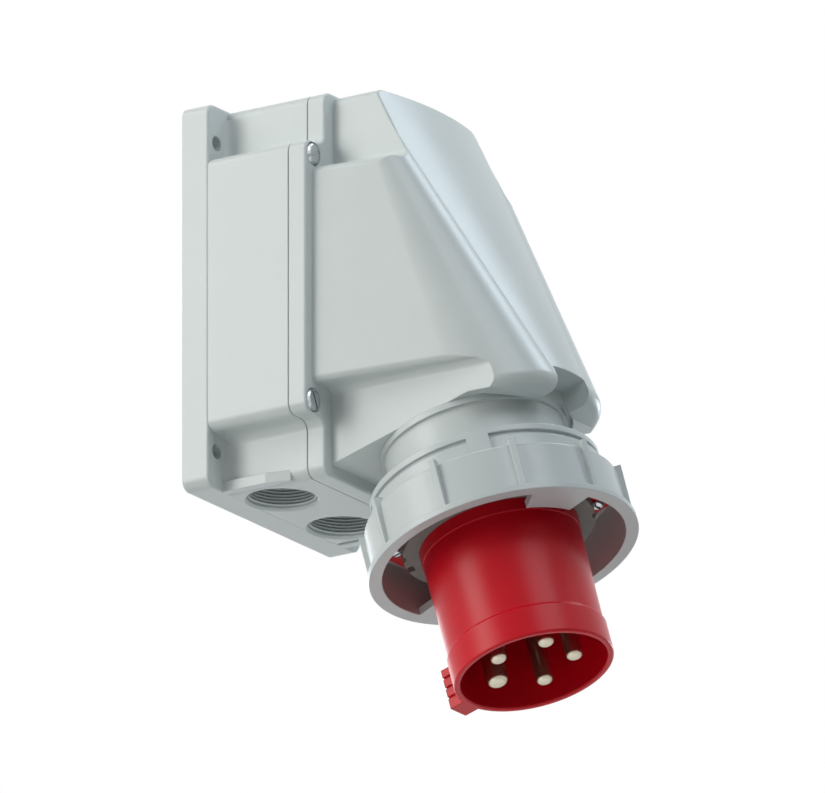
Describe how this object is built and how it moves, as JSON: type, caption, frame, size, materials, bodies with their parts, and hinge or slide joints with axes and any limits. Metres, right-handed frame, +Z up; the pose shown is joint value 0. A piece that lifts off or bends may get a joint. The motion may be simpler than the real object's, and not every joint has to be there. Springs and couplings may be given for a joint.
{
  "type": "industrial wall inlet",
  "caption": "Wall-mounted industrial power inlet: hooded box with angled round contact shroud, bayonet ring and threaded cable entries.",
  "frame": {"origin": "middle of the wall face, centre of the four mounting holes", "axes": "+Y into the wall, +Z up, +X to the right as seen from the front; the plug points down and away from the wall"},
  "size_m": [0.126, 0.1952, 0.2924],
  "materials": {
    "housing_plastic": "light grey moulded polyamide, satin",
    "ring_plastic": "light grey moulded polyamide, satin",
    "shroud_plastic": "red moulded polyamide, semi-gloss",
    "carrier_plastic": "dark red moulded polyamide",
    "seal_rubber": "dark grey elastomer",
    "insert_brass": "turned",
    "contact_nickel": "nickel-plated brass",
    "zinc_steel": "bright zinc-plated steel"
  },
  "bodies": {
    "housing": {"rear_housing": "housing_plastic", "front_cover": "housing_plastic", "cover_seal": "seal_rubber", "inlet_neck": "housing_plastic", "neck_seal": "seal_rubber", "contact_shroud": "shroud_plastic", "flange_seal": "seal_rubber", "mating_gasket": "seal_rubber", "contact_carrier": "carrier_plastic", "cover_screw_upper_left": "zinc_steel", "cover_screw_upper_right": "zinc_steel", "cover_screw_lower_left": "zinc_steel", "cover_screw_lower_right": "zinc_steel", "cover_insert_upper_left": "insert_brass", "cover_insert_upper_right": "insert_brass", "cover_insert_lower_left": "insert_brass", "cover_insert_lower_right": "insert_brass", "neck_screw_1": "zinc_steel", "neck_screw_2": "zinc_steel", "neck_screw_3": "zinc_steel", "neck_screw_4": "zinc_steel", "flange_screw_1": "zinc_steel", "flange_screw_2": "zinc_steel", "flange_screw_3": "zinc_steel", "flange_screw_4": "zinc_steel", "pin_earth": "contact_nickel", "pin_neutral": "contact_nickel", "pin_line_1": "contact_nickel", "pin_line_2": "contact_nickel", "pin_line_3": "contact_nickel", "pin_pilot": "contact_nickel", "terminal_screw_earth": "zinc_steel", "terminal_screw_neutral": "zinc_steel", "terminal_screw_line_1": "zinc_steel", "terminal_screw_line_2": "zinc_steel", "terminal_screw_line_3": "zinc_steel", "terminal_screw_pilot": "zinc_steel"},
    "coupling_ring": {"coupling_ring": "ring_plastic"}
  },
  "joints": [
    {"name": "ring_turn", "type": "hinge", "parent": "housing", "child": "coupling_ring", "pos_m": [0, -0.13063, -0.11681], "axis": [0, 0.2756, 0.9613], "range_deg": [0, 45]}
  ]
}
